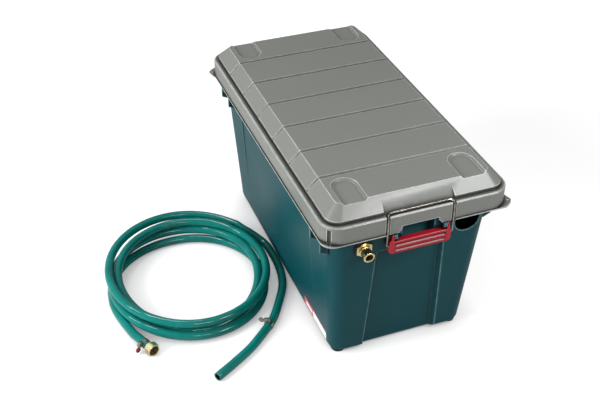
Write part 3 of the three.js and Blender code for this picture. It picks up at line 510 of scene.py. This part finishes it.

# %% [markdown]
# ## Hose vinyl
# The hose is soft glossy vinyl under a clear skin, drawn through a die that leaves faint lines
# along it. Its coordinates run along and round the tube, so the lines are a noise that is
# stretched along the hose. The first of them also tells how far in a place lies: all that comes
# before the cut rim is bore, and is painted near black as painted shade, since hardly any light
# gets in there.

# %% Hose finish
HOSE_COLOURS = [(0.0003, 0.115, 0.100, 1), (0.0006, 0.155, 0.136, 1)]
# painted shade for the inside of the bore
BORE_SHADE_COLOUR = (0.002, 0.004, 0.004, 1)
VINYL_SCATTER = (0.2, 1.0, 0.8)  # how far red, green and blue light wander in it, as shares
DRAWN_SCALE = (3, 60, 1)
HANDLED_SCALE = 22
HANDLED_SPAN, HOSE_ROUGHNESS = (0.35, 0.7), (0.2, 0.3)
DRAWN_RELIEF = (0.06, 0.0005)

hose_vinyl, tree, shader = new_material(
    "hose_vinyl", Subsurface_Weight=0.05, Subsurface_Scale=0.003,
    Subsurface_Radius=VINYL_SCATTER, Coat_Weight=0.7, Coat_Roughness=0.02,
    Specular_IOR_Level=0.05,
)
run = add_node(tree, "UVMap", uv_map="along_and_round").outputs["UV"]
drawn = add_node(tree, "Mapping", {"Vector": run, "Scale": DRAWN_SCALE}).outputs["Vector"]
handled = noise(tree, on_object(tree), HANDLED_SCALE, 4)
skin_colour = mix_colour(tree, fit(tree, handled, *NOISE_SPAN), *HOSE_COLOURS)
along = add_node(tree, "SeparateXYZ", {0: run}).outputs["X"]
in_bore = calculate(tree, "LESS_THAN", along, bore_length)
feed(
    tree, shader, Base_Color=mix_colour(tree, in_bore, skin_colour, BORE_SHADE_COLOUR),
    Roughness=fit(tree, handled, *HANDLED_SPAN, *HOSE_ROUGHNESS),
    Normal=relief(tree, noise(tree, drawn, 1, 3), *DRAWN_RELIEF),
)
hose.data.materials.append(hose_vinyl)
print("hose finish:", hose_vinyl.name)

# %% [markdown]
# ## Metals and rubber
# Brass here is turned bar: bright, finely tooled, with a warm tarnish in patches. The wire and
# the clamps are stainless steel, drawn and pressed. A metal shows mostly what it reflects, so
# its own detail is small: roughness that changes, and a little relief. Rubber is the opposite:
# matt and black, with a faint grey bloom.

# %% Metal finishes
TARNISH_SPAN = (0.42, 0.68)
METAL_ROUNDING = 0.0004
METAL_GRAIN, METAL_RELIEF = 1600, (0.06, 0.0002)


def metal_material(name, colour, tarnish, roughness, scale):
    """Metal with patches of tarnish and a finely changing gloss."""
    material, tree, shader = new_material(name, Metallic=1.0)
    place = on_object(tree)
    patches = fit(tree, noise(tree, place, scale, 4), *TARNISH_SPAN)
    gloss = fit(tree, noise(tree, place, scale * 6, 3), *NOISE_SPAN, *roughness)
    rounded = place_group(tree, rounded_edge, Radius=METAL_ROUNDING, Wear=0.0)["Normal"]
    fine = noise(tree, place, METAL_GRAIN, 2)
    feed(
        tree, shader, Base_Color=mix_colour(tree, patches, colour, tarnish), Roughness=gloss,
        Normal=relief(tree, fine, *METAL_RELIEF, rounded),
    )
    return material


brass = metal_material("brass", (0.88, 0.75, 0.45, 1), (0.66, 0.52, 0.26, 1), (0.20, 0.36), 90)
steel = metal_material("steel", (0.40, 0.38, 0.34, 1), (0.25, 0.23, 0.19, 1), (0.14, 0.26), 120)
print("metals:", brass.name, steel.name)

# %% Rubber finish
RUBBER_COLOURS = [(0.012, 0.012, 0.012, 1), (0.03, 0.03, 0.031, 1)]
BLOOM_SCALE, BLOOM_SPAN = 140, (0.35, 0.7)
RUBBER_GRAIN, RUBBER_RELIEF = 900, (0.15, 0.0003)

black_rubber, tree, shader = new_material("black_rubber", Roughness=0.7)
place = on_object(tree)
bloom = fit(tree, noise(tree, place, BLOOM_SCALE, 4), *BLOOM_SPAN)
feed(
    tree, shader, Base_Color=mix_colour(tree, bloom, *RUBBER_COLOURS),
    Normal=relief(tree, noise(tree, place, RUBBER_GRAIN, 2), *RUBBER_RELIEF),
)
print("rubber:", black_rubber.name)

# %% [markdown]
# ## Finishes on the solids
# The solids have the right shape, so they keep it and only change their finish. Their faces are
# small triangles; welded and shaded smooth up to a set angle, curved corners read as curved
# and real edges stay crisp.

# %% Finish each solid
# The finish of each solid, by the end of its name
FINISHES = {
    "tub": tub_plastic, "lid": lid_plastic, "latch_lever": red_plastic, "latch_bail": steel,
    "washer": black_rubber, "seal": black_rubber, "fitting_body": brass, "fitting_lock_nut": brass,
    "coupling_tail": brass, "coupling_nut": brass, "clamp_band": steel, "clamp_screw": steel,
    "coupling_clamp_thumb_key": red_plastic, "loose_clamp_thumb_key": steel,
}
SMOOTH_ANGLE = math.radians(32)
WELD = 0.00001
LARGEST_FIRST = 100  # the large flat faces decide how the narrow ones beside them are shaded


def finish_solid(node, material):
    """Gives a solid its material, and smooths its curved faces without moving a point."""
    mesh = node.data
    mesh.materials.clear()
    mesh.materials.append(material)
    if "custom_normal" in mesh.attributes:
        mesh.attributes.remove(mesh.attributes["custom_normal"])
    weld = node.modifiers.new("weld", "WELD")
    weld.merge_threshold = WELD
    split = node.modifiers.new("crisp_edges", "EDGE_SPLIT")
    split.split_angle = SMOOTH_ANGLE
    flat_first = node.modifiers.new("flat_faces_first", "WEIGHTED_NORMAL")
    flat_first.mode = "FACE_AREA"
    flat_first.weight = LARGEST_FIRST
    flat_first.keep_sharp = True
    mesh.polygons.foreach_set("use_smooth", [True] * len(mesh.polygons))


for name, node in nodes.items():
    for ending, material in FINISHES.items():
        if name.endswith(ending):
            finish_solid(node, material)
print("finished:", sum(1 for n in nodes.values() if n.modifiers), "solids")

# %% [markdown]
# ## Latch levers
# A latch lever is moulded with two soft flutes for the fingers, corners as round as the mould
# allows, and two ears that thin out towards the pins they turn on. A solid with flat ribs is
# enough to turn and to collide, but the flutes catch the light, so each lever is drawn again as
# a skin over cross sections: the section changes along the bar, flat at the ends, fluted between.

# %% Sections of the bar
# Depths and heights in metres from the axis that the lever turns on
LEVER_HALF = 0.076
LEVER_TOP, LEVER_FOOT = -0.011, -0.045
LEVER_FRONT, LEVER_BACK = -0.006, 0.008
LEVER_SKIN = 0.003
# Each flute: its middle height, half its height, and its depth
FLUTES = [(-0.0220, 0.0065, 0.0046), (-0.0355, 0.0050, 0.0042)]
FLUTE_END, FLUTE_FADE = 0.062, 0.004
FOOT_ROUND, FRONT_ROUND, TOP_ROUND = 0.009, 0.004, 0.0025
FACE_ROUND, FACE_STEPS = 0.003, 28
# Where the bar is cut into sections, in millimetres from its middle
BAR_STATIONS = [0, 20, 40, 54, 58, 60, 62, 64, 66, 68, 70, 72, 73.5, 74.7, 75.5, 76]


def eased(share):
    """Zero to one, starting and ending gently."""
    share = min(max(share, 0), 1)
    return share * share * (3 - 2 * share)


def rounded_off(across, radius):
    """How far an outline has drawn in where its end is rounded off."""
    past = max(abs(across) - (LEVER_HALF - radius), 0)
    return radius - math.sqrt(max(radius * radius - past * past, 0))


def bar_section(across):
    """The closed outline of the lever's bar at one place across, from the back edge round."""
    flute = 1 - eased((abs(across) - FLUTE_END) / FLUTE_FADE + 0.5)
    front = LEVER_FRONT + rounded_off(across, FRONT_ROUND)
    top = LEVER_TOP - rounded_off(across, TOP_ROUND)
    foot = LEVER_FOOT + rounded_off(across, FOOT_ROUND)
    back = LEVER_BACK - rounded_off(across, FRONT_ROUND)
    pocket = back + (front + LEVER_SKIN + FLUTES[0][2] - back) * flute
    outline = [(back, top), (back, top - LEVER_SKIN), (pocket, top - LEVER_SKIN)]
    outline += [(pocket, foot + LEVER_SKIN), (back, foot + LEVER_SKIN), (back, foot)]
    for k in range(FACE_STEPS + 1):
        share = k / FACE_STEPS
        height = foot + (top - foot) * share
        corner = min(height - foot, top - height) / FACE_ROUND
        depth = FACE_ROUND * (1 - math.sqrt(max(1 - (1 - min(corner, 1)) ** 2, 0)))
        for middle, half, deep in FLUTES:
            near = abs(height - middle) / half
            depth += deep * flute * (0.5 + 0.5 * math.cos(math.pi * min(near, 1)))
        outline.append((front + depth, height))
    return [Vector((across, along, height)) for along, height in outline]


print("bar section:", len(bar_section(0)), "points,", 2 * len(BAR_STATIONS) - 1, "stations")

# %% Sections of the ears and pins
EAR_LEVELS = [
    # height, inner and outer side, front and back, in millimetres from the axis
    (-14, 62.5, 75, -5.2, 7.6), (-11, 63.6, 73.4, -5.6, 7.6), (-7, 64.2, 71.6, -6.2, 6.9),
    (-3, 64.3, 70.6, -6.4, 6.4), (1, 64.3, 70, -6.3, 6.3), (4, 64.4, 69.6, -5, 5),
    (5.8, 64.8, 69.2, -2.9, 2.9), (6.4, 65.6, 68.4, -1.2, 1.2),
]
EAR_SIDES = 20
EAR_SOFTNESS = 0.5


def ear_section(level):
    """A soft rectangle round an ear at one height."""
    height, inner, outer, front, back = level
    points = []
    for k in range(EAR_SIDES):
        angle = 2 * math.pi * k / EAR_SIDES
        waves = (math.cos(angle), math.sin(angle))
        soft = [math.copysign(abs(wave) ** EAR_SOFTNESS, wave) for wave in waves]
        across = ((inner + outer) + (outer - inner) * soft[0]) / 2
        along = ((front + back) + (back - front) * soft[1]) / 2
        points.append(Vector((across, along, height)) * MM)
    return points


def pin_section(across, radius):
    """A ring round the pin of an ear."""
    angles = [2 * math.pi * k / EAR_SIDES for k in range(EAR_SIDES)]
    return [Vector((across, radius * math.cos(a), radius * math.sin(a))) for a in angles]


print("ear section:", EAR_SIDES, "points,", len(EAR_LEVELS), "levels")

# %% Build the levers
PIVOT_OUT, PIVOT_HEIGHT = 0.4265, 0.387
PIN_REACH = (0.0579, 0.0665)
PIN_RADIUS = 0.003
LEVER_SMOOTH = math.radians(40)


def skin(mesh, rings):
    """Joins closed rings of points into one closed surface."""
    loops = [[mesh.verts.new(point) for point in ring] for ring in rings]
    for first, second in zip(loops, loops[1:]):
        for k in range(len(first)):
            after = (k + 1) % len(first)
            mesh.faces.new((first[k], first[after], second[after], second[k]))
    mesh.faces.new(loops[0][::-1])
    mesh.faces.new(loops[-1])


def latch_lever(name, end):
    """A fluted lever at the front end (-1) or the rear end (1)."""
    shape = bmesh.new()
    stations = [-a * MM for a in reversed(BAR_STATIONS[1:])] + [a * MM for a in BAR_STATIONS]
    skin(shape, [bar_section(across) for across in stations])
    ear = [ear_section(level) for level in EAR_LEVELS]
    pin = [pin_section(across, PIN_RADIUS) for across in PIN_REACH]
    for side in (1, -1):
        for piece in (ear, pin):
            skin(shape, [[Vector((side * p.x, p.y, p.z)) for p in ring] for ring in piece])
    bmesh.ops.recalc_face_normals(shape, faces=shape.faces)
    turn = Matrix.Rotation(math.pi if end > 0 else 0, 4, "Z")
    shape.transform(Matrix.Translation((0, end * PIVOT_OUT, PIVOT_HEIGHT)) @ turn)
    mesh = bpy.data.meshes.new(name)
    shape.to_mesh(mesh)
    shape.free()
    lever = add_object(name, mesh, red_plastic)
    split = lever.modifiers.new("crisp_edges", "EDGE_SPLIT")
    split.split_angle = LEVER_SMOOTH
    return lever


for prefix, end in (("front", -1), ("rear", 1)):
    lever = latch_lever(prefix + "_fluted_lever", end)
    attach(lever, prefix + "_latch_lever")
    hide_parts(prefix + "_latch_lever")
    print(lever.name, len(lever.data.polygons), "faces")

# %% [markdown]
# ## Label
# A narrow printed label sits low on the left wall. It is a sheet of paper-thin film, so it is a
# real sheet that follows the slope of the wall and not paint in the wall's finish. Its print is
# plain: a red field with a white bar, and a white field with a thin red line along the top.

# %% Label outline
WALL_FOOT, WALL_SLOPE = -0.175, 0.0648
LABEL_ALONG = (-0.326, -0.181)
LABEL_HEIGHT = (0.0215, 0.0475)
LABEL_CORNER, CORNER_STEPS = 0.003, 6
LABEL_LIFT = 0.0003


def on_left_wall(along, height):
    """A point just off the left wall of the tub."""
    return (WALL_FOOT - WALL_SLOPE * height - LABEL_LIFT, along, height)


def label_outline():
    """The outline of the label with rounded corners."""
    outline = []
    for quarter in range(4):
        right, high = quarter in (0, 3), quarter in (0, 1)
        along = LABEL_ALONG[1] - LABEL_CORNER if right else LABEL_ALONG[0] + LABEL_CORNER
        height = LABEL_HEIGHT[1] - LABEL_CORNER if high else LABEL_HEIGHT[0] + LABEL_CORNER
        for k in range(CORNER_STEPS + 1):
            angle = math.pi / 2 * (quarter + k / CORNER_STEPS)
            outline.append(on_left_wall(
                along + LABEL_CORNER * math.cos(angle), height + LABEL_CORNER * math.sin(angle),
            ))
    return outline


outline = label_outline()
print("label outline:", len(outline), "points")

# %% Label print
RED_FIELD_START = -0.240
BAR_ALONG, BAR_HEIGHT = (-0.234, -0.192), (0.027, 0.038)
TOP_LINE_FOOT = 0.0445
PAPER_WHITE, PRINT_RED = (0.80, 0.79, 0.77, 1), (0.55, 0.02, 0.04, 1)
INK_SCALE, INK_LEAST = 220, 0.85


def between(tree, value, low, high):
    """One where a value lies between two others, zero elsewhere."""
    above = calculate(tree, "GREATER_THAN", value, low)
    return times(tree, above, calculate(tree, "LESS_THAN", value, high))


label_print, tree, shader = new_material("label_print", Roughness=0.35, Coat_Weight=0.2)
axes = add_node(tree, "SeparateXYZ", {0: on_object(tree)}).outputs
field = between(tree, axes["Y"], RED_FIELD_START, LABEL_ALONG[1])
bar = times(tree, between(tree, axes["Y"], *BAR_ALONG), between(tree, axes["Z"], *BAR_HEIGHT))
top_line = between(tree, axes["Z"], TOP_LINE_FOOT, LABEL_HEIGHT[1])
red = calculate(tree, "MAXIMUM", calculate(tree, "SUBTRACT", field, bar), top_line)
ink = fit(tree, noise(tree, on_object(tree), INK_SCALE, 3), *NOISE_SPAN, INK_LEAST, 1)
feed(tree, shader, Base_Color=mix_colour(tree, times(tree, red, ink), PAPER_WHITE, PRINT_RED))
print("label finish:", label_print.name)

# %% Label sheet
FILM_THICKNESS = 0.0002

label_mesh = bpy.data.meshes.new("wall_label")
label_mesh.from_pydata(outline, [], [tuple(range(len(outline)))])
label = add_object("wall_label", label_mesh, label_print, smooth=False)
film = label.modifiers.new("film", "SOLIDIFY")
film.thickness = FILM_THICKNESS
film.offset = 0
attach(label, "tub")
print("label", [round(v, 3) for v in label.dimensions])

# %% [markdown]
# ## Floor and backdrop
# The object stands on a white sweep. Such a floor could be made white by strong lamps, but they
# would wash out the object. Instead the floor's own paint is light, and it is lifted where the
# camera looks straight at it, more so far away, where it meets the white backdrop. Close under
# the object the lift is partly taken back, which leaves a soft contact shadow. A reflection of
# the floor isn't lifted, and the backdrop shows less in a reflection, so glossy plastic keeps
# its depth.

# %% Floor
WHITE = (1, 1, 1, 1)
FLOOR_HALF = 6
FLOOR_COLOURS = [(0.50, 0.50, 0.50, 1), (0.52, 0.52, 0.52, 1)]
FLOOR_SCALE = 0.8
FLOOR_LIFT, FAR_LIFT = 0.62, 1.0
LIFT_REACH = (0.9, 2.2)  # metres from the middle between which one lift turns into the other
CONTACT_REACH, CONTACT_LOSS = 0.075, 0.5


def white_stage(name):
    """Light paint, lifted to white where the camera looks straight at it."""
    material, tree, shader = new_material(name, Roughness=1.0, Specular_IOR_Level=0.0)
    place = on_object(tree)
    tone = fit(tree, noise(tree, place, FLOOR_SCALE, 2), *NOISE_SPAN)
    feed(tree, shader, Base_Color=mix_colour(tree, tone, *FLOOR_COLOURS))
    away = add_node(tree, "VectorMath", {0: place}, operation="LENGTH").outputs["Value"]
    near_by = {"Distance": CONTACT_REACH}
    openness = add_node(tree, "AmbientOcclusion", near_by, samples=OPEN_SAMPLES).outputs["AO"]
    contact = fit(tree, openness, 0, 1, CONTACT_LOSS, 0)
    lift = fit(tree, away, *LIFT_REACH, FLOOR_LIFT, FAR_LIFT)
    lift = calculate(tree, "SUBTRACT", lift, contact)
    seen = times(tree, add_node(tree, "LightPath").outputs["Is Camera Ray"], lift)
    glow = add_node(tree, "Emission", {"Color": WHITE, "Strength": seen})
    both = add_node(tree, "AddShader", {0: shader.outputs[0], 1: glow.outputs[0]})
    feed(tree, tree.nodes["Material Output"], Surface=both.outputs[0])
    return material


floor_mesh = bpy.data.meshes.new("floor")
corners = [(across * FLOOR_HALF, along * FLOOR_HALF, 0)
           for across, along in ((-1, -1), (1, -1), (1, 1), (-1, 1))]
floor_mesh.from_pydata(corners, [], [(0, 1, 2, 3)])
floor = add_object("floor", floor_mesh, white_stage("floor_white"), smooth=False)
print("floor", 2 * FLOOR_HALF, "m wide")

# %% Backdrop
AMBIENT = 0.2
MIRRORED_SKY = 0.4

world = bpy.data.worlds.new("studio")
scene.world = world
world.use_nodes = True
tree = world.node_tree
path = add_node(tree, "LightPath").outputs
direct = calculate(tree, "MAXIMUM", path["Is Camera Ray"], path["Is Transmission Ray"])
mirrored = times(tree, path["Is Glossy Ray"], MIRRORED_SKY)
seen = calculate(tree, "MAXIMUM", direct, mirrored)
background = tree.nodes["Background"]
background.inputs["Color"].default_value = WHITE
feed(tree, background, Strength=calculate(tree, "MAXIMUM", seen, AMBIENT))
print("backdrop: ambient light", AMBIENT, "and", MIRRORED_SKY, "in a reflection")

# %% [markdown]
# ## Lamps
# A broad soft window on the left gives most of the light. It could also be mirrored in the lid,
# but seen from behind it would wash the whole top out, so it is kept out of reflections. Three
# long thin lamps take over there: overhead, on the left and near the camera. Each draws a narrow
# bright line along the hose and the edges. A small box in front lights the bevel of the lid.

# %% Lamps
LAMPS = {
    # name: (place, size, power in watts, seen in reflections)
    "overhead": ((-0.6, 0.85, 2.4), (1.5, 0.18), 18, True),
    "left_window": ((-2.6, -0.3, 1.1), (1.6, 1.4), 92, False),
    "left_strip": ((-2.2, 0.3, 1.7), (0.1, 1.2), 10, True),
    "front_box": ((0.62, -1.15, 1.32), (0.9, 0.4), 15, True),
    "near_camera": ((-0.25, -2.5, 2.0), (1.1, 0.1), 17, True),
}
AIM = Vector((-0.15, 0, 0.25))
for name, (spot, size, power, mirrored) in LAMPS.items():
    lamp = bpy.data.lights.new(name, "AREA")
    lamp.shape = "RECTANGLE"
    lamp.size, lamp.size_y = size
    lamp.energy = power
    holder = bpy.data.objects.new(name, lamp)
    holder.location = spot
    holder.rotation_euler = (AIM - Vector(spot)).to_track_quat("-Z", "Y").to_euler()
    holder.visible_camera = False
    holder.visible_glossy = mirrored
    scene.collection.objects.link(holder)
scene.view_settings.view_transform = "Standard"
print("lamps:", {name: power for name, (_, _, power, _) in LAMPS.items()})
